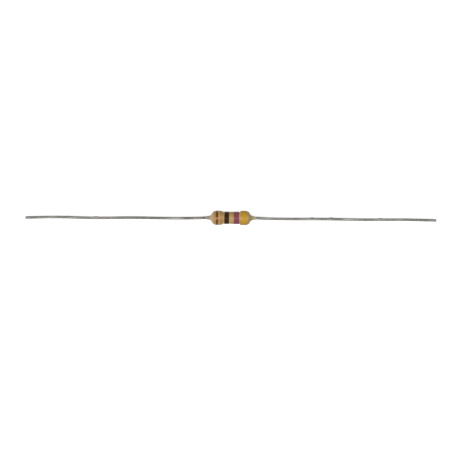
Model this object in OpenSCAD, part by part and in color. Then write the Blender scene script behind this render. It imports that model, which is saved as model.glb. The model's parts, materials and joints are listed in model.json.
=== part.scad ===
// Axial carbon film resistor, 47 ohm, 5 percent, with straight leads.
// The leads lie along X: the gold band is towards -X and the yellow band towards +X.
// The origin is in the middle of the part, on the leads' common axis.
// Every turned piece is a profile of [radius, place along the axis] revolved about that axis.

/* [Ceramic core] */
// Diameter of the ceramic rod
core_d = 1.46; // [1.36:0.02:1.6]
// Length of the ceramic rod
core_l = 4.88; // [4.6:0.02:6.4]
// Chamfer on the rod's end edges
core_chamfer = 0.08; // [0.07:0.01:0.14]

/* [Carbon film] */
// Thickness of the film, drawn thicker than the real one
film_t = 0.04; // [0.03:0.005:0.06]
// Whole turns of the groove that trims the film to its value
groove_turns = 5; // [2:1:6]
// Width of the trimming groove
groove_w = 0.12; // [0.08:0.01:0.14]
// Unbroken film left between each cap's rim and the groove
groove_margin = 0.3; // [0.1:0.05:0.4]
// Flat facets around the film
film_facets = 48; // [24:4:60]

/* [End caps] */
// Length of each pressed cap over its closed end
cap_l = 1.17; // [1.05:0.01:1.3]
// Wall of the cap, the same in its side and its closed end
cap_wall = 0.14; // [0.1:0.01:0.16]
// Radius inside the cap's corner
cap_corner_r = 0.06; // [0.04:0.01:0.08]
// Gap between the film and the cap's bore, none for a press fit
cap_gap = 0; // [0:0.005:0.01]

/* [Leads] */
// Diameter of the tinned wire
lead_d = 0.4; // [0.36:0.01:0.6]
// Length of each lead from its cap to its cut end
lead_l = 28.15; // [15:0.05:38]
// Chamfer left by the cut at the wire's end
lead_tip_chamfer = 0.04; // [0.02:0.01:0.08]
// Thickness of the flat rim squeezed out at the weld
weld_rim_t = 0.03; // [0.02:0.01:0.05]
// Radius of the fillet from that rim up to the wire
weld_fillet_r = 0.11; // [0.08:0.01:0.14]
// Swelling of the wire's radius at the weld, gone where the lacquer ends
weld_swell = 0.012; // [0.008:0.002:0.016]

/* [Lacquer coat] */
// Lacquer over the film, at the waist
coat_on_film_t = 0.135; // [0.12:0.005:0.15]
// Lacquer over the side of the caps
coat_on_caps_t = 0.16; // [0.13:0.01:0.18]
// Radius of the rounded shoulder over each cap's closed end
shoulder_r = 0.66; // [0.6:0.02:0.76]
// Distance from the cap's closed end inward to where the shoulder starts to round
shoulder_in = 0.34; // [0.3:0.01:0.4]
// Distance from the cap's closed end outward to where the lacquer's neck ends on the wire
neck_l = 0.855; // [0.82:0.005:1]
// Lacquer on the wire where the neck ends
runout_t = 0.07; // [0.05:0.005:0.09]
// Lacquer left at the very end of the run-out
runout_edge_t = 0.025; // [0.015:0.005:0.035]
// Length of the thin run-out on the left lead
left_runout_l = 0.3; // [0.1:0.02:0.5]
// Length of the thin run-out on the right lead
right_runout_l = 0.42; // [0.1:0.02:0.5]
// Length over which the coat falls from the left cap to the waist
left_step_l = 0.45; // [0.4:0.01:0.55]
// How far inboard of the left cap's rim that fall ends
left_step_in = 0.34; // [0.3:0.01:0.5]
// Length over which the coat falls from the right cap to the waist
right_step_l = 0.28; // [0.24:0.01:0.4]
// How far inboard of the right cap's rim that fall ends
right_step_in = 0.17; // [0.16:0.01:0.3]

/* [Colour bands] */
// Thickness of the painted rings
paint_t = 0.025; // [0.015:0.005:0.04]
// Width of the yellow band, the first digit
yellow_w = 0.7; // [0.5:0.01:0.78]
// Distance from the right cap's closed end in to the yellow band
yellow_gap = 0.25; // [0.22:0.01:0.28]
// Width of the violet band, the second digit
violet_w = 0.78; // [0.5:0.02:0.8]
// Distance from the foot of the right fall in to the violet band
violet_gap = 0.03; // [0.02:0.01:0.1]
// Width of the black band, the multiplier
black_w = 0.69; // [0.5:0.01:0.7]
// Bare lacquer between the black band and the violet band
black_gap = 0.71; // [0.5:0.01:0.74]
// Width of the gold band, the tolerance
gold_w = 0.34; // [0.28:0.01:0.6]
// Distance from the left cap's closed end in to the gold band
gold_gap = 0.335; // [0.28:0.005:0.5]

/* [Hidden] */

// Straight strips around every revolved piece, and along every arc of a profile
$fn = 96;
arc_steps = 8;
// How far a cutting profile runs past the face that it opens
overcut = 0.1;
// Gap that keeps the film's flat facets clear of the round faces they lie on
facet_gap = 0.001;

core_r = core_d / 2;
film_r = core_r + film_t;
film_end_x = core_l / 2 - core_chamfer;
cap_bore_r = film_r + cap_gap;
cap_r = cap_bore_r + cap_wall;
cap_face_x = core_l / 2 + cap_wall;
cap_rim_x = cap_face_x - cap_l;

groove_low_x = -(cap_rim_x - groove_margin);
groove_pitch = (-2 * groove_low_x - groove_w) / groove_turns;

lead_r = lead_d / 2;
weld_r = lead_r + weld_swell + weld_fillet_r;

waist_r = film_r + coat_on_film_t;
bulge_r = cap_r + coat_on_caps_t;
neck_r = lead_r + runout_t;
left_foot_x = cap_rim_x - left_step_in;
right_foot_x = cap_rim_x - right_step_in;
violet_x = right_foot_x - violet_gap - violet_w;
black_x = violet_x - black_gap - black_w;
neck_end_x = cap_face_x + neck_l;
left_clean_x = neck_end_x + left_runout_l;
right_clean_x = neck_end_x + right_runout_l;

// Points on a quarter turn about [cx, cy], from straight out along the radius to straight along the axis
function quarter(cx, cy, r) =
    [for (i = [0 : arc_steps]) [cx + r * cos(90 * i / arc_steps), cy + r * sin(90 * i / arc_steps)]];

// Half the turn of an S of two tangent arcs that runs length along the axis and changes the radius by rise
function s_turn(length, rise) = 2 * atan(abs(rise) / length);

// Points of such an S from radius r0 at x0 to r1 at x1, where first_r is the radius of its first arc
function s_curve(x0, r0, x1, r1, first_r) =
    let (
        turn = s_turn(x1 - x0, r1 - r0),
        last_r = (x1 - x0) / sin(turn) - first_r,
        way = sign(r1 - r0)
    )
    concat(
        [for (i = [0 : arc_steps]) let (a = turn * i / arc_steps)
            [r0 + way * first_r * (1 - cos(a)), x0 + first_r * sin(a)]],
        [for (i = [arc_steps - 1 : -1 : 0]) let (a = turn * i / arc_steps)
            [r1 - way * last_r * (1 - cos(a)), x1 - last_r * sin(a)]]
    );

// Radius of each arc in an S of two equal arcs
function equal_arc_r(length, rise) = length / (2 * sin(s_turn(length, rise)));

// One half of the coat's outside, from the waist out to the clean wire, grown by extra for a band's top
function coat_half(foot_x, step_l, clean_x, extra) =
    concat(
        s_curve(
            foot_x, waist_r + extra, foot_x + step_l, bulge_r + extra,
            equal_arc_r(step_l, bulge_r - waist_r)
        ),
        s_curve(
            cap_face_x - shoulder_in, bulge_r + extra, neck_end_x, neck_r + extra,
            shoulder_r
        ),
        [[lead_r + runout_edge_t + extra, clean_x], [0, clean_x]]
    );

// The same points on the other side of the middle, in the order that carries the outline on
function far_side(points) = [for (i = [len(points) - 1 : -1 : 0]) [points[i][0], -points[i][1]]];

// The whole outside of the coat as a closed profile
function coat_outline(extra) =
    concat(
        far_side(coat_half(left_foot_x, left_step_l, left_clean_x, extra)),
        coat_half(right_foot_x, right_step_l, right_clean_x, extra)
    );

// A cup's outside or inside, with its mouth at mouth_x and its closed end at end_x
function cup_outline(r, mouth_x, end_x, corner_r) =
    concat([[0, mouth_x], [r, mouth_x]], quarter(r - corner_r, end_x - corner_r, corner_r), [[0, end_x]]);

// A lead with its welded foot, started start_x from the axis' middle
function lead_outline(start_x, clean_x) =
    let (rim_x = cap_face_x + weld_rim_t, fillet_x = rim_x + weld_fillet_r, tip_x = cap_face_x + lead_l)
    concat(
        [[0, start_x], [weld_r, start_x], [weld_r, rim_x]],
        [for (i = [1 : arc_steps]) let (a = 90 * i / arc_steps)
            [weld_r - weld_fillet_r * sin(a), fillet_x - weld_fillet_r * cos(a)]],
        [[lead_r, clean_x], [lead_r, tip_x - lead_tip_chamfer], [lead_r - lead_tip_chamfer, tip_x], [0, tip_x]]
    );

// The film is a tube of flat facets. Its upright edges are rays numbered from 0, and on each ray
// the corners are numbered upward: the low end, the two edges of each groove turn, the high end.
// Ray 0 holds one turn more than the others, because the groove starts and ends on it.
ray_corners = 2 * groove_turns + 2;
first_ray_corners = ray_corners + 2;
film_corners = first_ray_corners + (film_facets - 1) * ray_corners;

// Place along the axis of a groove edge on ray k: turn t, edge 0 for the lower and 1 for the upper
function groove_x(k, t, edge) = groove_low_x + groove_pitch * (t + k / film_facets) + edge * groove_w;

// Every corner on one surface of the film, at radius r
function film_surface(r) =
    [for (k = [0 : film_facets - 1])
        let (
            c = r * cos(360 * k / film_facets),
            s = r * sin(360 * k / film_facets),
            last_turn = (k == 0) ? groove_turns : groove_turns - 1
        )
        each concat(
            [[c, s, -film_end_x]],
            [for (t = [0 : last_turn], edge = [0, 1]) [c, s, groove_x(k, t, edge)]],
            [[c, s, film_end_x]]
        )
    ];

// Number of the lowest and highest corner on ray k, and of groove turn t's edge there.
// The ray after the last is ray 0 again, one turn further up.
function ray_low(k) = (k % film_facets == 0) ? 0 : first_ray_corners + (k - 1) * ray_corners;
function ray_high(k) = ray_low(k) + ((k % film_facets == 0) ? first_ray_corners : ray_corners) - 1;
function ray_edge(k, t, edge) = ray_low(k) + 1 + edge + 2 * (t + floor(k / film_facets));

// Whole numbers from low to high
function span(low, high) = [for (i = [low : high]) i];

// The patch of film under groove turn t in column k, as its left and right edges from low to high
function patch_side(k, t) =
    span((t == 0) ? ray_low(k) : ray_edge(k, t - 1, 1), (t == groove_turns) ? ray_high(k) : ray_edge(k, t, 0));

// Triangles that fill the strip between two upright edges
function strip(left, right) =
    concat(
        [for (i = [0 : len(right) - 2]) [left[0], right[i], right[i + 1]]],
        [for (i = [0 : len(left) - 2]) [right[len(right) - 1], left[i + 1], left[i]]]
    );

// Triangles across the film's thickness between corners a and b of the outer surface
function ledge(a, b) = [[a, b, b + film_corners], [a, b + film_corners, a + film_corners]];

// The same triangles seen from the other side
function flipped(triangles) = [for (t = triangles) [t[0], t[2], t[1]]];

// All faces of the film, counter-clockwise seen from outside
function film_faces() =
    concat(
        [for (k = [0 : film_facets - 1], t = [0 : groove_turns])
            let (patch = strip(patch_side(k, t), patch_side(k + 1, t)))
            each concat(patch, flipped([for (f = patch) [for (i = f) i + film_corners]]))
        ],
        [for (k = [0 : film_facets - 1], t = [0 : groove_turns - 1])
            each concat(
                ledge(ray_edge(k, t, 0), ray_edge(k + 1, t, 0)),
                flipped(ledge(ray_edge(k, t, 1), ray_edge(k + 1, t, 1)))
            )
        ],
        [for (k = [0 : film_facets - 1])
            each concat(
                ledge(ray_high(k), ray_high(k + 1)),
                flipped(ledge(ray_low(k), ray_low(k + 1)))
            )
        ],
        flipped(ledge(ray_edge(0, 0, 0), ray_edge(0, 0, 1))),
        ledge(ray_edge(0, groove_turns, 0), ray_edge(0, groove_turns, 1))
    );

// Lays a piece made upright along the leads' axis
module along_leads() {
    rotate([0, 90, 0]) children();
}

// Revolves a profile about the leads' axis
module turned() {
    along_leads() rotate_extrude() children();
}

// Draws its profile at the left end in place of the right one
module at_left() {
    mirror([0, 1]) children();
}

// Plain ceramic rod with broken end edges
module ceramic_core() {
    half_l = core_l / 2;
    color("ivory") turned() polygon([
        [0, -half_l],
        [core_r - core_chamfer, -half_l],
        [core_r, -film_end_x],
        [core_r, film_end_x],
        [core_r - core_chamfer, half_l],
        [0, half_l]
    ]);
}

// Film on the side of the rod, cut through by the helical trimming groove
module carbon_film() {
    inner_r = (core_r + facet_gap) / cos(180 / film_facets);
    color("dimgray") along_leads() polyhedron(
        points = concat(film_surface(film_r - facet_gap), film_surface(inner_r)),
        faces = flipped(film_faces())
    );
}

// Profile of the drawn steel cup pressed over one end of the filmed rod
module end_cap_profile() {
    difference() {
        polygon(cup_outline(cap_r, cap_rim_x, cap_face_x, cap_corner_r + cap_wall));
        polygon(cup_outline(cap_bore_r, cap_rim_x - overcut, cap_face_x - cap_wall, cap_corner_r));
    }
}

module left_end_cap() {
    color("silver") turned() at_left() end_cap_profile();
}

module right_end_cap() {
    color("silver") turned() end_cap_profile();
}

module left_lead() {
    color("darkgray") turned() at_left() polygon(lead_outline(cap_face_x, left_clean_x));
}

module right_lead() {
    color("darkgray") turned() polygon(lead_outline(cap_face_x, right_clean_x));
}

// What the lacquer has run over at one end: the cap and the welded foot of the lead
module coated_end(clean_x) {
    polygon(cup_outline(cap_r, cap_rim_x, cap_face_x, cap_corner_r + cap_wall));
    polygon(lead_outline(cap_face_x - overcut, clean_x));
}

// One dipped skin over rod, caps and welds, with a waist, two shoulders and a neck on each wire
module lacquer_coat() {
    color("tan") turned() difference() {
        polygon(coat_outline(0));
        translate([0, -cap_rim_x - overcut]) square([film_r, 2 * (cap_rim_x + overcut)]);
        coated_end(right_clean_x);
        at_left() coated_end(left_clean_x);
    }
}

// A painted ring that follows the coat, from low_x to low_x + w
module band(low_x, w) {
    turned() intersection() {
        difference() {
            polygon(coat_outline(paint_t));
            polygon(coat_outline(0));
        }
        translate([0, low_x]) square([bulge_r + overcut, w]);
    }
}

module yellow_band() {
    color("goldenrod") band(cap_face_x - yellow_gap - yellow_w, yellow_w);
}

module violet_band() {
    color("rosybrown") band(violet_x, violet_w);
}

module black_band() {
    color("black") band(black_x, black_w);
}

module gold_band() {
    color("darkgoldenrod") band(-cap_face_x + gold_gap, gold_w);
}

ceramic_core();
carbon_film();
left_end_cap();
right_end_cap();
left_lead();
right_lead();
lacquer_coat();
yellow_band();
violet_band();
black_band();
gold_band();
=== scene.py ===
"""Dresses an axial carbon film resistor: lacquered dog-bone body, painted rings and tinned wire leads."""

import json
import math

import bmesh
import bpy
from bpy.props import FloatProperty, FloatVectorProperty, IntProperty, PointerProperty
from mathutils import Euler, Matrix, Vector, noise


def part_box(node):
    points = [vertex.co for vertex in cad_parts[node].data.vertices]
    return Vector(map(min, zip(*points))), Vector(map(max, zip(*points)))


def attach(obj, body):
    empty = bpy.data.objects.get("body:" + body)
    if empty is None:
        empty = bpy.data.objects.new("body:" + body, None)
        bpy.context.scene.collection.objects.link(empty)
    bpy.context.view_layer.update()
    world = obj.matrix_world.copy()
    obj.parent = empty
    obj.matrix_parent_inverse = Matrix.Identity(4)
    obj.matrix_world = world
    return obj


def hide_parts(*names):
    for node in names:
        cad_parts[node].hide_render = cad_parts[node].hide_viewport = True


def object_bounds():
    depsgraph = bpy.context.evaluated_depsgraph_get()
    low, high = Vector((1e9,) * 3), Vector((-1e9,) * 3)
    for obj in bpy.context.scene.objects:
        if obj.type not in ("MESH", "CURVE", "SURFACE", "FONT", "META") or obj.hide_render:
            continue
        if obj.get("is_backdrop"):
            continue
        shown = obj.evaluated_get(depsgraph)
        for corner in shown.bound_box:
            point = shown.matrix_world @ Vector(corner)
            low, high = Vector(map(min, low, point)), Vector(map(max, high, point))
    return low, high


bl_info = {
    "name": "Axial Resistor",
    "version": (1, 0, 0),
    "blender": (4, 5, 0),
    "location": "3D View > Sidebar > Resistor",
    "description": "Models the finish of a lacquered axial resistor around its packed frame",
    "category": "Object",
}

MM = 0.001
BODY = "root"

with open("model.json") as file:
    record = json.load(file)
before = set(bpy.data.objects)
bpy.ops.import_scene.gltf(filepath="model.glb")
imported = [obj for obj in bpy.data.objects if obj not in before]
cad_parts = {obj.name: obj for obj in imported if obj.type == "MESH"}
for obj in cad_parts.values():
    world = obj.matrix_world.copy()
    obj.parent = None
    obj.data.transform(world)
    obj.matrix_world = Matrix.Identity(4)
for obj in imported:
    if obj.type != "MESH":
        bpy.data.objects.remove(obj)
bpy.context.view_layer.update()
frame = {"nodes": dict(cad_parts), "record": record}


def node_reach(node):
    """Least and greatest X of a CAD node, and its radius about the leads' axis."""
    low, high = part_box(node)
    return low[0], high[0], high[2]


COAT_LEFT, COAT_RIGHT, BULGE_R = node_reach("lacquer_coat")
CAP_RIM, CAP_FACE, CAP_R = node_reach("right_end_cap")
FILM_R = node_reach("carbon_film")[2]
WELD_R = node_reach("right_lead")[2]
LEAD_R = frame["record"]["mounts"][0]["dims"]["r_mm"] * MM
PAINT_T = node_reach("gold_band")[2] - BULGE_R
WAIST_R = node_reach("violet_band")[2] - PAINT_T
FACE_L = 0.04 * MM  # usual length of a face along the body
# Distances from the middle of the body to the small lumps of tin on each wire
LEFT_SWELLS = (20.15 * MM,)
RIGHT_SWELLS = (12.15 * MM, 15.0 * MM, 22.3 * MM)


def screen_colour(red, green, blue):
    """Scene-linear colour from the 0 to 255 values that a screen shows."""
    parts = [value / 255 for value in (red, green, blue)]
    return tuple(v / 12.92 if v <= 0.04045 else ((v + 0.055) / 1.055) ** 2.4 for v in parts)


def size(name, description, default_mm):
    """A length property, given in millimetres."""
    return FloatProperty(
        name=name, description=description, default=default_mm * MM, precision=6, unit="LENGTH"
    )


def share(name, description, default, high=1.0):
    """A number property from 0 to high."""
    return FloatProperty(name=name, description=description, default=default, min=0.0, max=high)


def colour(name, description, red, green, blue):
    """A colour property, given as a screen shows it."""
    return FloatVectorProperty(
        name=name,
        description=description,
        default=screen_colour(red, green, blue),
        size=3,
        min=0.0,
        max=1.0,
        subtype="COLOR",
    )


class ResistorCoatSettings(bpy.types.PropertyGroup):
    """Shape and finish of the dipped lacquer."""

    shoulder_r: size("Shoulder radius", "Radius of the rounded shoulder over each cap", 0.66)
    shoulder_in: size("Shoulder start", "Distance inward from the cap's closed end", 0.34)
    neck_l: size("Neck length", "Distance outward from the cap's closed end", 0.855)
    runout_t: size("Run-out thickness", "Lacquer on the wire where the neck ends", 0.07)
    edge_t: size("Edge thickness", "Lacquer left at the end of the run-out", 0.025)
    left_step_l: size("Left fall length", "Length of the fall from the left bulge to the waist", 0.45)
    left_step_in: size("Left fall foot", "How far inboard of the left cap's rim the fall ends", 0.34)
    right_step_l: size("Right fall length", "Length of the fall from the right bulge to the waist", 0.28)
    right_step_in: size("Right fall foot", "How far inboard of the right cap's rim the fall ends", 0.17)
    left_ragged: size("Left ragged edge", "How far the left run-out's edge draws back in places", 0.12)
    right_ragged: size("Right ragged edge", "How far the right run-out's edge draws back in places", 0.3)
    lump: size("Lumps", "Height of the lacquer's slow unevenness", 0.014)
    lump_length: size("Lump length", "Length of that unevenness", 1.3)
    tint: colour("Lacquer", "Colour of the lacquer at full thickness", 179, 142, 90)
    shade: colour("Lacquer shade", "Darker colour that clouds it", 151, 115, 67)
    # Painted shade: how much the lacquer is darkened on the left fall, where the slope turns away from the
    # light.
    pool: share("Fall shade", "How much painted shade darkens the lacquer at the left fall", 0.5)
    left_neck: colour("Left neck", "Lacquer on the left neck, thinner and greyer", 176, 151, 120)
    left_end: colour("Left run-out", "Thin lacquer on the left wire, which shows through", 134, 126, 112)
    right_neck: colour("Right neck", "Lacquer on the right neck, thinner and more olive", 150, 132, 84)
    right_end: colour("Right run-out", "Thin lacquer on the right wire, which shows through", 164, 155, 112)
    roughness: share("Roughness", "Roughness of the lacquer", 0.27)
    segments: IntProperty(name="Segments", description="Faces around the body", default=128, min=24)


class ResistorBandSettings(bpy.types.PropertyGroup):
    """Shape and finish of the painted rings."""

    sink: size("Sink", "How far a ring's underside lies in the lacquer", 0.006)
    edge_wave: size("Edge wander", "How far a ring's edge wanders along the body", 0.03)
    edge_round: size("Edge rounding", "Length over which a ring's edge rounds over", 0.05)
    yellow: colour("Yellow", "First ring", 186, 142, 36)
    violet: colour("Violet", "Second ring", 125, 68, 78)
    black: colour("Black", "Third ring", 42, 25, 6)
    gold: colour("Gold", "Tolerance ring, metallic", 98, 62, 20)
    roughness: share("Roughness", "Roughness of the paint", 0.34)
    gold_roughness: share("Gold roughness", "Roughness of the metallic ring", 0.24)


class ResistorLeadSettings(bpy.types.PropertyGroup):
    """Shape and finish of the wires."""

    left_sway: size("Left sway", "How far the left wire sways to each side towards its end", 0.055)
    right_sway: size("Right sway", "How far the right wire sways to each side towards its end", 0.03)
    sway_length: size("Sway length", "Length of one sway", 11.6)
    drop: size("Drop", "How far to one side the wires settle once they leave the lacquer", 0.085)
    nick: size("Nicks", "Depth of the wire's small dents", 0.008)
    swell: size("Swells", "Height of the few small lumps in the tinning", 0.065)
    swell_l: size("Swell length", "Half the length of such a lump", 0.3)
    patch_shift: size("Patch shift", "Where along the wires the tarnished patches fall", 500.0)
    stain_l: size("Stain length", "Length of the dark flux stain beyond the left run-out", 0.5)
    cut_slant: FloatProperty(
        name="Cut slant", description="Slant of the cut end", default=math.radians(12), subtype="ANGLE"
    )
    bright: colour("Bright tin", "Clean tinning", 130, 129, 124)
    dull: colour("Dull tin", "Tarnished tinning", 88, 86, 82)
    stain: colour("Flux stain", "Dark stain beyond the left run-out", 84, 79, 70)
    roughness: share("Roughness", "Roughness of the tinning", 0.36)
    rings: IntProperty(name="Rings", description="Rings of faces along each wire", default=220, min=20)
    segments: IntProperty(name="Segments", description="Faces around each wire", default=32, min=8)


class ResistorInnerSettings(bpy.types.PropertyGroup):
    """Finish of what the lacquer hides."""

    ceramic: colour("Ceramic", "Body of the rod", 226, 221, 208)
    carbon: colour("Carbon", "Resistive film", 46, 45, 44)
    cap: colour("Cap", "Tinned steel cups", 176, 174, 166)


class ResistorStageSettings(bpy.types.PropertyGroup):
    """Floor, lamps and camera."""

    floor_tint: colour("Floor", "Colour of the floor", 176, 176, 176)
    floor_glow: share("Floor glow", "Light that the floor adds for the camera", 0.74, 2.0)
    sky: share("Sky", "Strength of the light from all round", 0.14, 3.0)
    floor_half: size("Floor half side", "Half the side of the floor", 1500.0)
    top_power: share("Top lamp", "Power of the long lamp overhead, in watts", 2.2, 100.0)
    top_tilt: FloatProperty(
        name="Top lamp tilt",
        description="How far that lamp leans from overhead towards the picture's lower edge",
        default=math.radians(12),
        subtype="ANGLE",
    )
    top_reach: size("Top lamp distance", "Distance from the body to the lamp overhead", 500.0)
    top_l: size("Top lamp length", "Length of that lamp, along the leads", 600.0)
    top_w: size("Top lamp width", "Width of that lamp", 160.0)
    left_power: share("Left lamp", "Power of the lamp beyond the left lead, in watts", 1.15, 100.0)
    right_power: share("Right lamp", "Power of the lamp beyond the right lead, in watts", 0.55, 100.0)
    side_reach: size("Side lamp reach", "Distance from the body along the leads to each side lamp", 420.0)
    side_height: size("Side lamp height", "Height of each side lamp over the body", 300.0)
    side_l: size("Side lamp side", "Side of each square side lamp", 140.0)
    lens: FloatProperty(name="Lens", description="Focal length in millimetres", default=200.0, min=20.0)
    scale: FloatProperty(
        name="Scale", description="Pixels to the millimetre at the leads' axis", default=6.69, min=1.0
    )
    picture_px: IntProperty(name="Picture", description="Side of the picture in pixels", default=458)
    middle_x_px: FloatProperty(name="Middle X", description="Body's middle across the picture", default=230.9)
    middle_y_px: FloatProperty(name="Middle Y", description="Body's middle down the picture", default=217.9)
    roll: FloatProperty(
        name="Roll", description="Slope of the leads in the picture", default=0.0074, subtype="ANGLE"
    )


def s_curve(start_x, start_r, end_x, end_r, first_r, steps=16):
    """Points (x, radius) of an S of two tangent arcs, first_r being the first arc's radius."""
    length, rise = end_x - start_x, end_r - start_r
    turn = 2 * math.atan(abs(rise) / length)
    last_r = length / math.sin(turn) - first_r
    way = math.copysign(1, rise)
    turns = [turn * i / steps for i in range(steps + 1)]
    rising = [(start_x + first_r * math.sin(a), start_r + way * first_r * (1 - math.cos(a))) for a in turns]
    falling = [(end_x - last_r * math.sin(a), end_r - way * last_r * (1 - math.cos(a))) for a in turns]
    return rising + falling[-2::-1]


def evenly(points):
    """The same polyline with its long stretches divided every FACE_L or so, to be made uneven."""
    divided = [points[0]]
    for (x0, r0), (x1, r1) in zip(points, points[1:]):
        parts = max(1, round(math.hypot(x1 - x0, r1 - r0) / FACE_L))
        divided += [(x0 + (x1 - x0) * i / parts, r0 + (r1 - r0) * i / parts) for i in range(1, parts + 1)]
    return divided


def coat_half(coat, step_in, step_l, clean_x):
    """Points (distance from the middle, radius) of one half of the coat's outside."""
    foot_x = CAP_RIM - step_in
    rise = BULGE_R - WAIST_R
    equal_r = step_l / (2 * math.sin(2 * math.atan(rise / step_l)))
    fall = s_curve(foot_x, WAIST_R, foot_x + step_l, BULGE_R, equal_r)
    shoulder = s_curve(
        CAP_FACE - coat.shoulder_in, BULGE_R, CAP_FACE + coat.neck_l, LEAD_R + coat.runout_t,
        coat.shoulder_r,
    )
    return fall + shoulder + [(clean_x, LEAD_R + coat.edge_t)]


def coat_outside(coat):
    """Points (x, radius) of the coat's outside from left to right, divided for the lumps."""
    left = coat_half(coat, coat.left_step_in, coat.left_step_l, -COAT_LEFT)
    right = coat_half(coat, coat.right_step_in, coat.right_step_l, COAT_RIGHT)
    return evenly([(-x, r) for x, r in reversed(left)] + right)


def radius_at(points, x):
    """Radius of a profile at x."""
    if x <= points[0][0]:
        return points[0][1]
    for (x0, r0), (x1, r1) in zip(points, points[1:]):
        if x <= x1:
            return r0 + (r1 - r0) * (x - x0) / max(x1 - x0, 1e-12)
    return points[-1][1]


def round_axis(corner):
    """A corner's place along the leads, its angle about them and its radius."""
    return corner.co.x, math.atan2(corner.co.z, corner.co.y), math.hypot(corner.co.y, corner.co.z)


def lump(coat, x, angle, radius):
    """Extra radius from the lacquer's slow unevenness, none on the bare wire."""
    cover = min(max((radius - LEAD_R) / (WAIST_R - LEAD_R), 0.0), 1.0)
    scale = 1 / coat.lump_length
    spot = Vector((x * scale, math.cos(angle) * radius * scale, math.sin(angle) * radius * scale))
    sunk = 0.35
    return coat.lump * cover * (noise.noise(spot) - sunk)


def draw_back(coat, x, angle):
    """How far the thin edge of the run-out draws back towards the body at this place."""
    neck_end = CAP_FACE + coat.neck_l
    edge, ragged = (COAT_RIGHT, coat.right_ragged) if x > 0 else (-COAT_LEFT, coat.left_ragged)
    share_out = max(abs(x) - neck_end, 0.0) / (edge - neck_end)
    seed = math.copysign(7.3, x)
    waves = noise.noise(Vector((math.cos(angle), math.sin(angle), seed)))
    mean, swing = 0.5, 0.45
    return ragged * share_out * (mean + swing * waves)


def turn_profile(points, segments, closed):
    """A mesh of revolution about X from points (x, radius), closed into a loop or run to the axis."""
    bm = bmesh.new()
    corners = [bm.verts.new((x, 0.0, r)) for x, r in points]
    edges = [bm.edges.new(pair) for pair in zip(corners, corners[1:])]
    if closed:
        edges.append(bm.edges.new((corners[-1], corners[0])))
    bmesh.ops.spin(
        bm,
        geom=corners + edges,
        cent=(0, 0, 0),
        axis=(1, 0, 0),
        angle=math.tau,
        steps=segments,
        use_merge=True,
        use_duplicate=False,
    )
    bmesh.ops.remove_doubles(bm, verts=bm.verts, dist=1e-9)
    bmesh.ops.dissolve_degenerate(bm, edges=bm.edges, dist=1e-9)
    bmesh.ops.recalc_face_normals(bm, faces=bm.faces)
    return bm


def finish_piece(bm, name, material, nodes):
    """Makes the bmesh an object that rides on the body and stands for its CAD nodes."""
    mesh = bpy.data.meshes.new(name)
    bm.to_mesh(mesh)
    bm.free()
    mesh.shade_smooth()
    mesh.set_sharp_from_angle(angle=math.radians(40))
    mesh.materials.append(material)
    piece = bpy.data.objects.new(name, mesh)
    bpy.context.scene.collection.objects.link(piece)
    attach(piece, BODY)
    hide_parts(*nodes)
    return piece


def dress_node(node, material):
    """Gives a CAD node that stays a material of its own."""
    mesh = frame["nodes"][node].data
    mesh.materials.clear()
    mesh.materials.append(material)


class Effect:
    """A shader node group under construction, with short calls for its nodes and links."""

    def __init__(self, name, inputs, outputs):
        self.group = bpy.data.node_groups.new(name, "ShaderNodeTree")
        for label, default in inputs.items():
            kind = "NodeSocketVector" if isinstance(default, tuple) else "NodeSocketFloat"
            socket = self.group.interface.new_socket(label, in_out="INPUT", socket_type=kind)
            socket.default_value = default
        for label in outputs:
            kind = "NodeSocketVector" if label == "Normal" else "NodeSocketFloat"
            self.group.interface.new_socket(label, in_out="OUTPUT", socket_type=kind)
        self.given = self.group.nodes.new("NodeGroupInput").outputs
        self.out = self.group.nodes.new("NodeGroupOutput").inputs

    def node(self, kind, links, **settings):
        """A shader node with its settings, and sockets linked to its inputs by name or number."""
        node = self.group.nodes.new(f"ShaderNode{kind}")
        for label, value in settings.items():
            setattr(node, label, value)
        for label, socket in links.items():
            self.group.links.new(socket, node.inputs[label])
        return node

    def place(self):
        """The point on the piece, in the object's own coordinates."""
        return self.node("TexCoord", {}).outputs["Object"]

    def stretched(self, shift=None):
        """That point times the group's Stretch, and with its Shift added where it has one."""
        links = {0: self.place(), 1: self.given["Stretch"]}
        if shift is None:
            return self.node("VectorMath", links, operation="MULTIPLY").outputs["Vector"]
        return self.node("VectorMath", {**links, 2: shift}, operation="MULTIPLY_ADD").outputs["Vector"]

    def noise(self, point, detail):
        """Noise at the point, at the group's Scale."""
        texture = self.node("TexNoise", {"Vector": point, "Scale": self.given["Scale"]})
        texture.inputs["Detail"].default_value = detail
        return texture.outputs["Fac"]

    def send(self, **sockets):
        """Links sockets to the group's outputs and returns the group."""
        for label, socket in sockets.items():
            self.group.links.new(socket, self.out[label])
        return self.group


def cloud_group():
    """Slow clouds of colour: a mask from 0 to 1 over the surface."""
    inputs = {"Scale": 900.0, "Stretch": (1.0, 1.0, 1.0), "Shift": (0.0, 0.0, 0.0), "Low": 0.35, "High": 0.65}
    cloud = Effect("Cloud", inputs, ["Mask"])
    given = cloud.given
    clouds = cloud.noise(cloud.stretched(given["Shift"]), detail=5.0)
    mask = cloud.node("MapRange", {"Value": clouds, "From Min": given["Low"], "From Max": given["High"]})
    return cloud.send(Mask=mask.outputs["Result"])


def along_group():
    """Mask that rises from one X to another, whichever of the two is the greater."""
    along = Effect("Along", {"From": 0.0, "To": 1.0}, ["Mask"])
    x = along.node("SeparateXYZ", {"Vector": along.place()}).outputs["X"]
    links = {"Value": x, "From Min": along.given["From"], "From Max": along.given["To"]}
    mask = along.node("MapRange", links, interpolation_type="SMOOTHSTEP")
    return along.send(Mask=mask.outputs["Result"])


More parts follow.
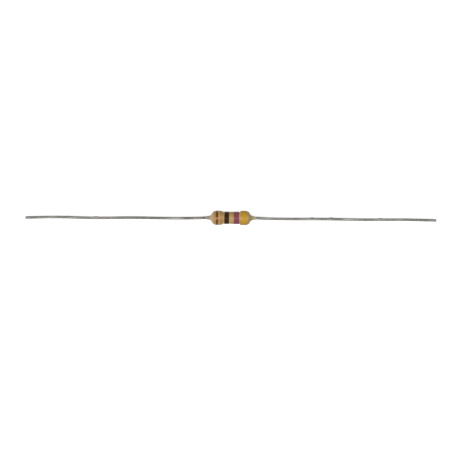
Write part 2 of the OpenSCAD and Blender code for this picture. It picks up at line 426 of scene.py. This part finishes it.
def grain_group():
    """Fine unevenness as a normal: orange peel in lacquer and paint, draw marks in wire."""
    inputs = {"Scale": 9000.0, "Stretch": (1.0, 1.0, 1.0), "Strength": 0.1, "Distance": 0.01 * MM}
    grain = Effect("Grain", inputs, ["Normal"])
    height, given = grain.noise(grain.stretched(), detail=3.0), grain.given
    links = {"Height": height, "Strength": given["Strength"], "Distance": given["Distance"]}
    return grain.send(Normal=grain.node("Bump", links).outputs["Normal"])


def speck_group():
    """Mask of small round specks, such as pits, dust or metal flakes, and a shade for each speck."""
    specks = Effect("Specks", {"Scale": 4000.0, "Radius": 0.2, "Share": 0.3}, ["Mask", "Shade"])
    given = specks.given
    cells = specks.node("TexVoronoi", {"Vector": specks.place(), "Scale": given["Scale"]}).outputs
    draw = specks.node("SeparateColor", {"Color": cells["Color"]}).outputs
    inside = specks.node("Math", {0: cells["Distance"], 1: given["Radius"]}, operation="LESS_THAN").outputs[0]
    chosen = specks.node("Math", {0: draw["Red"], 1: given["Share"]}, operation="LESS_THAN").outputs[0]
    mask = specks.node("Math", {0: inside, 1: chosen}, operation="MULTIPLY").outputs[0]
    return specks.send(Mask=mask, Shade=draw["Green"])


def shared_group(name):
    """The named effect's group, built the first time it is asked for."""
    builders = {"Cloud": cloud_group, "Along": along_group, "Grain": grain_group, "Specks": speck_group}
    return bpy.data.node_groups.get(name) or builders[name]()


class Finish:
    """A material under construction, with its Principled shader and short calls for its nodes."""

    def __init__(self, name, roughness, metallic=0.0, specular=0.5):
        self.material = bpy.data.materials.new(name)
        self.material.use_nodes = True
        self.nodes = self.material.node_tree.nodes
        self.links = self.material.node_tree.links
        self.shader = self.nodes["Principled BSDF"]
        self.shader.inputs["Roughness"].default_value = roughness
        self.shader.inputs["Metallic"].default_value = metallic
        self.shader.inputs["Specular IOR Level"].default_value = specular

    def effect(self, name, **values):
        """Places a shared group and sets its inputs."""
        node = self.nodes.new("ShaderNodeGroup")
        node.node_tree = shared_group(name)
        for label, value in values.items():
            node.inputs[label].default_value = value
        return node

    def mix(self, mask, first, second):
        """Colour socket that goes from first to second with the mask. Each is a colour or a socket."""
        node = self.nodes.new("ShaderNodeMix")
        node.data_type = "RGBA"
        self.links.new(mask, node.inputs["Factor"])
        for label, value in (("A", first), ("B", second)):
            socket = next(s for s in node.inputs if s.name == label and s.type == "RGBA")
            if isinstance(value, bpy.types.NodeSocket):
                self.links.new(value, socket)
            else:
                socket.default_value = (*value, 1.0)
        return next(s for s in node.outputs if s.type == "RGBA")

    def both(self, first, second):
        """Mask socket where both masks are."""
        node = self.nodes.new("ShaderNodeMath")
        node.operation = "MULTIPLY"
        self.links.new(first, node.inputs[0])
        self.links.new(second, node.inputs[1])
        return node.outputs["Value"]

    def levels(self, value, low, high):
        """Value socket spread from 0 to 1 onto low to high."""
        node = self.nodes.new("ShaderNodeMapRange")
        node.inputs["To Min"].default_value = low
        node.inputs["To Max"].default_value = high
        self.links.new(value, node.inputs["Value"])
        return node.outputs["Result"]

    def feed(self, label, socket):
        """Links a socket to the shader's input of that name."""
        self.links.new(socket, self.shader.inputs[label])


def lacquer_material(coat):
    """Glossy tan lacquer, clouded, with painted shade on the left fall, greyer on the necks and thin at the
    run-outs.
    """
    lacquer = Finish("Tan lacquer", coat.roughness, specular=0.22)
    clouds = lacquer.effect("Cloud", Scale=1100.0, Low=0.38, High=0.66)
    body = lacquer.mix(clouds.outputs["Mask"], coat.tint, coat.shade)
    # Painted shade: the lacquer is darkened on the left fall from the bulge to the waist, where the slope
    # turns away from the light.
    fade = 0.25 * MM
    fall_foot, fall_top = CAP_RIM - coat.left_step_in, CAP_RIM - coat.left_step_in + coat.left_step_l
    before = lacquer.effect("Along", From=-fall_top - fade, To=-fall_top - 0.05 * MM)
    after = lacquer.effect("Along", From=-fall_foot, To=-fall_foot - fade)
    fall_shade_mask = lacquer.levels(lacquer.both(before.outputs["Mask"], after.outputs["Mask"]), 0.0, coat.pool)
    shaded_and_thinned = lacquer.mix(fall_shade_mask, body, coat.shade)
    for side, neck, end in ((-1, coat.left_neck, coat.left_end), (1, coat.right_neck, coat.right_end)):
        slope = lacquer.effect("Along", From=side * (CAP_FACE - 0.1 * MM), To=side * (CAP_FACE + fade))
        shaded_and_thinned = lacquer.mix(slope.outputs["Mask"], shaded_and_thinned, neck)
        tail = side * (CAP_FACE + coat.neck_l)
        runout = lacquer.effect("Along", From=tail - side * 0.45 * MM, To=tail)
        shaded_and_thinned = lacquer.mix(runout.outputs["Mask"], shaded_and_thinned, end)
    pits = lacquer.effect("Specks", Scale=3500.0, Radius=0.16, Share=0.12)
    lacquer.feed("Base Color", lacquer.mix(pits.outputs["Mask"], shaded_and_thinned, coat.shade))
    lacquer.feed("Roughness", lacquer.levels(clouds.outputs["Mask"], coat.roughness, coat.roughness + 0.1))
    peel = lacquer.effect("Grain", Scale=5200.0, Strength=0.25, Distance=0.008 * MM)
    lacquer.feed("Normal", peel.outputs["Normal"])
    return lacquer.material


def paint_material(name, tint, bands):
    """Thin glossy paint with faint streaks around the body."""
    paint = Finish(name, bands.roughness, specular=0.1)
    streaks = paint.effect("Cloud", Scale=2600.0, Stretch=(3.0, 0.5, 0.5), Low=0.3, High=0.7)
    deeper = tuple(0.8 * part for part in tint)
    streaked = paint.mix(streaks.outputs["Mask"], tint, deeper)
    pits = paint.effect("Specks", Scale=4200.0, Radius=0.14, Share=0.1)
    paint.feed("Base Color", paint.mix(pits.outputs["Mask"], streaked, tuple(0.6 * part for part in tint)))
    paint.feed("Roughness", paint.levels(streaks.outputs["Mask"], bands.roughness, bands.roughness + 0.12))
    peel = paint.effect("Grain", Scale=6500.0, Strength=0.25, Distance=0.006 * MM)
    paint.feed("Normal", peel.outputs["Normal"])
    return paint.material


def gold_material(bands):
    """Metallic paint with flakes of its own brightness."""
    gold = Finish("Gold paint", bands.gold_roughness, metallic=0.65)
    clouds = gold.effect("Cloud", Scale=3000.0, Stretch=(2.0, 0.7, 0.7), Low=0.3, High=0.7)
    darker = tuple(0.7 * part for part in bands.gold)
    worn = gold.mix(clouds.outputs["Mask"], bands.gold, darker)
    flakes = gold.effect("Specks", Scale=30000.0, Radius=0.5, Share=0.4)
    lighter = tuple(min(1.0, 1.5 * part) for part in bands.gold)
    gold.feed("Base Color", gold.mix(flakes.outputs["Mask"], worn, lighter))
    rough = gold.levels(flakes.outputs["Shade"], bands.gold_roughness, bands.gold_roughness + 0.15)
    gold.feed("Roughness", rough)
    peel = gold.effect("Grain", Scale=9000.0, Strength=0.3, Distance=0.006 * MM)
    gold.feed("Normal", peel.outputs["Normal"])
    return gold.material


def wire_material(leads):
    """Dull tinning with draw marks along the wire and darker patches."""
    wire = Finish("Tinned wire", leads.roughness, metallic=0.95)
    shift = (leads.patch_shift, 0.0, 0.0)
    patches = wire.effect("Cloud", Scale=420.0, Stretch=(1.0, 2.0, 2.0), Shift=shift, Low=0.35, High=0.68)
    tarnished = wire.mix(patches.outputs["Mask"], leads.bright, leads.dull)
    marks = wire.effect("Cloud", Scale=13000.0, Stretch=(0.035, 1.0, 1.0), Low=0.4, High=0.62)
    drawn = wire.mix(wire.levels(marks.outputs["Mask"], 0.0, 0.5), tarnished, leads.dull)
    spots = wire.effect("Specks", Scale=1800.0, Radius=0.22, Share=0.16)
    spotted = wire.mix(wire.levels(spots.outputs["Mask"], 0.0, 0.6), drawn, leads.dull)
    start = wire.effect("Along", From=COAT_LEFT, To=COAT_LEFT - 0.3 * leads.stain_l)
    end = wire.effect("Along", From=COAT_LEFT - 1.2 * leads.stain_l, To=COAT_LEFT - 0.8 * leads.stain_l)
    stained = wire.both(start.outputs["Mask"], end.outputs["Mask"])
    wire.feed("Base Color", wire.mix(stained, spotted, leads.stain))
    wire.feed("Roughness", wire.levels(patches.outputs["Mask"], leads.roughness, leads.roughness + 0.2))
    grain = wire.effect("Grain", Scale=15000.0, Stretch=(0.05, 1.0, 1.0), Strength=0.6, Distance=0.006 * MM)
    wire.feed("Normal", grain.outputs["Normal"])
    return wire.material


def ceramic_material(inner):
    """Matt ground ceramic."""
    ceramic = Finish("Ceramic", 0.7)
    clouds = ceramic.effect("Cloud", Scale=2400.0)
    greyer = tuple(0.85 * part for part in inner.ceramic)
    ceramic.feed("Base Color", ceramic.mix(clouds.outputs["Mask"], inner.ceramic, greyer))
    grain = ceramic.effect("Grain", Scale=14000.0, Strength=0.4, Distance=0.01 * MM)
    ceramic.feed("Normal", grain.outputs["Normal"])
    return ceramic.material


def carbon_material(inner):
    """Satin carbon film, a little lighter in places."""
    carbon = Finish("Carbon film", 0.45)
    clouds = carbon.effect("Cloud", Scale=1800.0, Stretch=(2.0, 0.5, 0.5))
    lighter = tuple(1.6 * part for part in inner.carbon)
    carbon.feed("Base Color", carbon.mix(clouds.outputs["Mask"], inner.carbon, lighter))
    grain = carbon.effect("Grain", Scale=11000.0, Strength=0.3, Distance=0.006 * MM)
    carbon.feed("Normal", grain.outputs["Normal"])
    return carbon.material


def cap_material(inner):
    """Tinned steel drawn into a cup, with fine marks along the draw."""
    cap = Finish("Tinned cap", 0.3, metallic=1.0)
    marks = cap.effect("Cloud", Scale=3600.0, Stretch=(0.15, 1.0, 1.0))
    darker = tuple(0.75 * part for part in inner.cap)
    cap.feed("Base Color", cap.mix(marks.outputs["Mask"], inner.cap, darker))
    grain = cap.effect("Grain", Scale=9000.0, Stretch=(0.1, 1.0, 1.0), Strength=0.3, Distance=0.006 * MM)
    cap.feed("Normal", grain.outputs["Normal"])
    return cap.material


def coat_inside():
    """Points (x, radius) of the coat's bore from right to left: wires, caps and film."""
    right = [
        (COAT_RIGHT, LEAD_R),
        (CAP_FACE, LEAD_R),
        (CAP_FACE, CAP_R),
        (CAP_RIM, CAP_R),
        (CAP_RIM, FILM_R),
    ]
    left = [(-x, r) for x, r in reversed(right[1:])]
    return right + left + [(COAT_LEFT, LEAD_R)]


def model_coat(coat, material):
    """One skin of lacquer with its bore, slightly uneven outside."""
    outside = coat_outside(coat)
    inside = coat_inside()
    bm = turn_profile(outside + inside, coat.segments, closed=True)
    for corner in bm.verts:
        x, angle, radius = round_axis(corner)
        corner.co.x -= math.copysign(draw_back(coat, x, angle), x)
        if abs(radius - radius_at(outside, x)) < 1e-7:
            grown = (radius + lump(coat, x, angle, radius)) / radius
            corner.co.y *= grown
            corner.co.z *= grown
    return finish_piece(bm, "lacquer_skin", material, ["lacquer_coat"])


def model_band(name, node, coat, bands, material, seed):
    """A painted ring over the coat, with rounded and wandering edges."""
    low_x, high_x, _ = node_reach(node)
    outside = coat_outside(coat)
    steps = 5
    turns = [math.pi / 2 * i / steps for i in range(steps + 1)]
    edge = [(bands.edge_round * (1 - math.cos(a)), PAINT_T * math.sin(a)) for a in turns]
    across = [(low_x + run, rise) for run, rise in edge]
    across += [(high_x - run, rise) for run, rise in reversed(edge)]
    across = evenly(across)
    top = [(x, radius_at(outside, x) + rise) for x, rise in across]
    under_x = [across[number][0] for number in (-1, len(across) // 2, 0)]
    under = [(x, radius_at(outside, x) - bands.sink) for x in under_x]
    bm = turn_profile(top + under, coat.segments, closed=True)
    middle, half = (low_x + high_x) / 2, (high_x - low_x) / 2
    for corner in bm.verts:
        x, angle, radius = round_axis(corner)
        rise = radius - radius_at(outside, x)
        side = (x - middle) / half
        waves = noise.noise(Vector((math.cos(angle) * 1.6, math.sin(angle) * 1.6, seed + 3.0 * (side > 0))))
        moved_x = x + bands.edge_wave * waves * abs(side)
        base = radius_at(outside, moved_x)
        moved_r = base + rise + lump(coat, moved_x, angle, base)
        corner.co = (moved_x, moved_r * math.cos(angle), moved_r * math.sin(angle))
    return finish_piece(bm, name, material, [node])


def wire_profile(leads, end_x):
    """Points (x, radius) of a wire from its cap to its cut end, weld first, for a lead towards +X."""
    rim_t = 0.03 * MM
    fillet_r = WELD_R - LEAD_R
    steps = 8
    weld = [(CAP_FACE, 0.0), (CAP_FACE, WELD_R), (CAP_FACE + rim_t, WELD_R)]
    turns = [math.pi / 2 * i / steps for i in range(1, steps + 1)]
    weld += [
        (CAP_FACE + rim_t + fillet_r * (1 - math.cos(a)), WELD_R - fillet_r * math.sin(a)) for a in turns
    ]
    start_x, break_r = weld[-1][0], 0.05 * MM
    stretch = (end_x - break_r - start_x) / leads.rings
    shank = [(start_x + stretch * i, LEAD_R) for i in range(1, leads.rings + 1)]
    tip = [
        (end_x - break_r * (1 - math.sin(a)), LEAD_R - break_r * (1 - math.cos(a))) for a in turns
    ]
    return weld + shank + tip + [(end_x, 0.0)]


def model_lead(name, node, leads, material, side, sway, swells, seed):
    """A drawn wire with its weld, a slight sway, small dents and lumps and a slanted cut."""
    low_x, high_x, _ = node_reach(node)
    end_x = high_x if side > 0 else -low_x
    clean_x = COAT_RIGHT if side > 0 else -COAT_LEFT
    dents_along, dents_round = 0.9 / MM, 5.0 / MM
    bm = turn_profile(wire_profile(leads, end_x), leads.segments, closed=False)
    for corner in bm.verts:
        x, y, z = corner.co
        out = max(x - clean_x, 0.0)
        free = out / (end_x - clean_x)
        if out > 0.0:
            radius = math.hypot(y, z)
            dent = max(noise.noise(Vector((x * dents_along, y * dents_round + seed, z * dents_round))), 0.0)
            shrink = 1 - leads.nick / LEAD_R * dent * (radius > 0.5 * LEAD_R)
            lift = sum(leads.swell * math.exp(-(((x - place) / leads.swell_l) ** 2)) for place in swells)
            y, z = y * shrink + lift * max(y / LEAD_R, 0.0), z * shrink
            turn = math.tau * (x - CAP_FACE) / leads.sway_length
            settled = 1 - math.exp(-out / MM)
            y += sway * math.sqrt(free) * math.cos(turn) - leads.drop * settled * (1 + 0.4 * free)
            z += 0.4 * sway * free * math.sin(turn + seed)
        ending = max(1 - (end_x - x) / LEAD_R, 0.0)
        x -= ending * math.tan(leads.cut_slant) * (LEAD_R + corner.co.y) * 0.5
        corner.co = (side * x, y, z)
    bmesh.ops.recalc_face_normals(bm, faces=bm.faces)
    return finish_piece(bm, name, material, [node])


class RESISTOR_OT_dress_inside(bpy.types.Operator):
    """Give the ceramic rod, its film and the two end caps their finish"""

    bl_idname = "resistor.dress_inside"
    bl_label = "Dress Inner Pieces"

    def execute(self, context):
        inner = context.scene.resistor_inner
        cap = cap_material(inner)
        dress_node("ceramic_core", ceramic_material(inner))
        dress_node("carbon_film", carbon_material(inner))
        dress_node("left_end_cap", cap)
        dress_node("right_end_cap", cap)
        return {"FINISHED"}


class RESISTOR_OT_add_leads(bpy.types.Operator):
    """Model the two tinned wire leads with their welds and cut ends"""

    bl_idname = "resistor.add_leads"
    bl_label = "Add Leads"

    def execute(self, context):
        leads = context.scene.resistor_leads
        wire = wire_material(leads)
        model_lead("left_wire", "left_lead", leads, wire, -1, leads.left_sway, LEFT_SWELLS, seed=0.7)
        model_lead("right_wire", "right_lead", leads, wire, 1, leads.right_sway, RIGHT_SWELLS, seed=2.1)
        return {"FINISHED"}


class RESISTOR_OT_add_coat(bpy.types.Operator):
    """Model the dipped lacquer coat"""

    bl_idname = "resistor.add_coat"
    bl_label = "Add Lacquer Coat"

    def execute(self, context):
        coat = context.scene.resistor_coat
        model_coat(coat, lacquer_material(coat))
        return {"FINISHED"}


class RESISTOR_OT_add_bands(bpy.types.Operator):
    """Model the four painted rings on the coat"""

    bl_idname = "resistor.add_bands"
    bl_label = "Add Colour Bands"

    def execute(self, context):
        coat, bands = context.scene.resistor_coat, context.scene.resistor_bands
        rings = [
            ("yellow", paint_material("Yellow paint", bands.yellow, bands)),
            ("violet", paint_material("Violet paint", bands.violet, bands)),
            ("black", paint_material("Black paint", bands.black, bands)),
            ("gold", gold_material(bands)),
        ]
        for number, (name, material) in enumerate(rings):
            model_band(
                f"{name}_ring", f"{name}_band", coat, bands, material, seed=5.3 * number
            )
        return {"FINISHED"}


def add_area_lamp(name, place, width, length, power):
    """A rectangular lamp at place that shines at the middle of the body."""
    lamp = bpy.data.lights.new(name, "AREA")
    lamp.shape = "RECTANGLE"
    lamp.size, lamp.size_y = width, length
    lamp.energy = power
    holder = bpy.data.objects.new(name, lamp)
    holder.location = place
    holder.rotation_euler = (-place).to_track_quat("-Z", "Y").to_euler()
    bpy.context.scene.collection.objects.link(holder)


def seen_directly(nodes, links):
    """Value socket that is 1 for rays that show a thing plainly: camera, glossy and through glass."""
    path = nodes.new("ShaderNodeLightPath")
    total = path.outputs["Is Camera Ray"]
    for label in ("Is Glossy Ray", "Is Transmission Ray"):
        add = nodes.new("ShaderNodeMath")
        add.operation = "MAXIMUM"
        links.new(total, add.inputs[0])
        links.new(path.outputs[label], add.inputs[1])
        total = add.outputs["Value"]
    return total


def floor_material(stage):
    """Pale floor that keeps the part's shadow and shows white where it is clear."""
    material = bpy.data.materials.new("Pale floor")
    material.use_nodes = True
    nodes, links = material.node_tree.nodes, material.node_tree.links
    shader = nodes["Principled BSDF"]
    shader.inputs["Base Color"].default_value = (*stage.floor_tint, 1.0)
    shader.inputs["Roughness"].default_value = 0.9
    shader.inputs["Specular IOR Level"].default_value = 0.1
    shader.inputs["Emission Color"].default_value = (1.0, 1.0, 1.0, 1.0)
    glow = nodes.new("ShaderNodeMath")
    glow.operation = "MULTIPLY"
    glow.inputs[1].default_value = stage.floor_glow
    links.new(seen_directly(nodes, links), glow.inputs[0])
    links.new(glow.outputs["Value"], shader.inputs["Emission Strength"])
    return material


def light_world(stage):
    """White to the camera and in reflections, dimmer as a source of light."""
    world = bpy.data.worlds.new("Studio")
    bpy.context.scene.world = world
    world.use_nodes = True
    nodes, links = world.node_tree.nodes, world.node_tree.links
    background = nodes["Background"]
    background.inputs["Color"].default_value = (1.0, 1.0, 1.0, 1.0)
    strength = nodes.new("ShaderNodeMapRange")
    strength.inputs["To Min"].default_value = stage.sky
    strength.inputs["To Max"].default_value = 1.0
    links.new(seen_directly(nodes, links), strength.inputs["Value"])
    links.new(strength.outputs["Result"], background.inputs["Strength"])


def add_camera(stage):
    """Long-lens camera looking straight down, framed as the picture is."""
    lens = bpy.data.cameras.new("Camera")
    lens.lens = stage.lens
    lens.clip_start, lens.clip_end = 0.01, 20.0
    camera = bpy.data.objects.new("Camera", lens)
    width = stage.picture_px / stage.scale * MM
    height = width * stage.lens / lens.sensor_width
    to_middle = Vector((
        (stage.middle_x_px - stage.picture_px / 2) / stage.scale * MM,
        (stage.picture_px / 2 - stage.middle_y_px) / stage.scale * MM,
        -height,
    ))
    turn = Euler((0.0, 0.0, stage.roll))
    to_middle.rotate(turn)
    camera.location = -to_middle
    camera.rotation_euler = turn
    bpy.context.scene.collection.objects.link(camera)
    bpy.context.scene.camera = camera


class RESISTOR_OT_set_stage(bpy.types.Operator):
    """Set the pale floor, the soft lamps and the camera"""

    bl_idname = "resistor.set_stage"
    bl_label = "Set Stage"

    def execute(self, context):
        stage = context.scene.resistor_stage
        context.scene.view_settings.view_transform = "Standard"
        bm = bmesh.new()
        bmesh.ops.create_grid(bm, x_segments=1, y_segments=1, size=stage.floor_half)
        bmesh.ops.translate(bm, verts=bm.verts, vec=(0.0, 0.0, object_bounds()[0][2]))
        mesh = bpy.data.meshes.new("floor")
        bm.to_mesh(mesh)
        bm.free()
        mesh.materials.append(floor_material(stage))
        floor = bpy.data.objects.new("floor", mesh)
        context.scene.collection.objects.link(floor)
        floor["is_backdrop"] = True
        light_world(stage)
        top = Vector((0.0, -math.sin(stage.top_tilt), math.cos(stage.top_tilt))) * stage.top_reach
        left, right = (Vector((side * stage.side_reach, 0.0, stage.side_height)) for side in (-1, 1))
        add_area_lamp("Top lamp", top, stage.top_l, stage.top_w, stage.top_power)
        add_area_lamp("Left lamp", left, stage.side_l, stage.side_l, stage.left_power)
        add_area_lamp("Right lamp", right, stage.side_l, stage.side_l, stage.right_power)
        add_camera(stage)
        return {"FINISHED"}


class RESISTOR_PT_pieces(bpy.types.Panel):
    """Lists the steps in the order they are taken"""

    bl_idname = "RESISTOR_PT_pieces"
    bl_label = "Axial Resistor"
    bl_space_type = "VIEW_3D"
    bl_region_type = "UI"
    bl_category = "Resistor"

    def draw(self, context):
        for operator in STEPS:
            self.layout.operator(operator.bl_idname)


STEPS = (
    RESISTOR_OT_dress_inside,
    RESISTOR_OT_add_leads,
    RESISTOR_OT_add_coat,
    RESISTOR_OT_add_bands,
    RESISTOR_OT_set_stage,
)
SETTINGS = {
    "resistor_inner": ResistorInnerSettings,
    "resistor_leads": ResistorLeadSettings,
    "resistor_coat": ResistorCoatSettings,
    "resistor_bands": ResistorBandSettings,
    "resistor_stage": ResistorStageSettings,
}


def register():
    for group in (*SETTINGS.values(), *STEPS, RESISTOR_PT_pieces):
        bpy.utils.register_class(group)
    for name, group in SETTINGS.items():
        setattr(bpy.types.Scene, name, PointerProperty(type=group))


def unregister():
    for name in SETTINGS:
        delattr(bpy.types.Scene, name)
    for group in (RESISTOR_PT_pieces, *reversed(STEPS), *reversed(SETTINGS.values())):
        bpy.utils.unregister_class(group)


def main():
    register()
    bpy.ops.resistor.dress_inside()
    bpy.ops.resistor.add_leads()
    bpy.ops.resistor.add_coat()
    bpy.ops.resistor.add_bands()
    bpy.ops.resistor.set_stage()


if __name__ == "__main__":
    main()
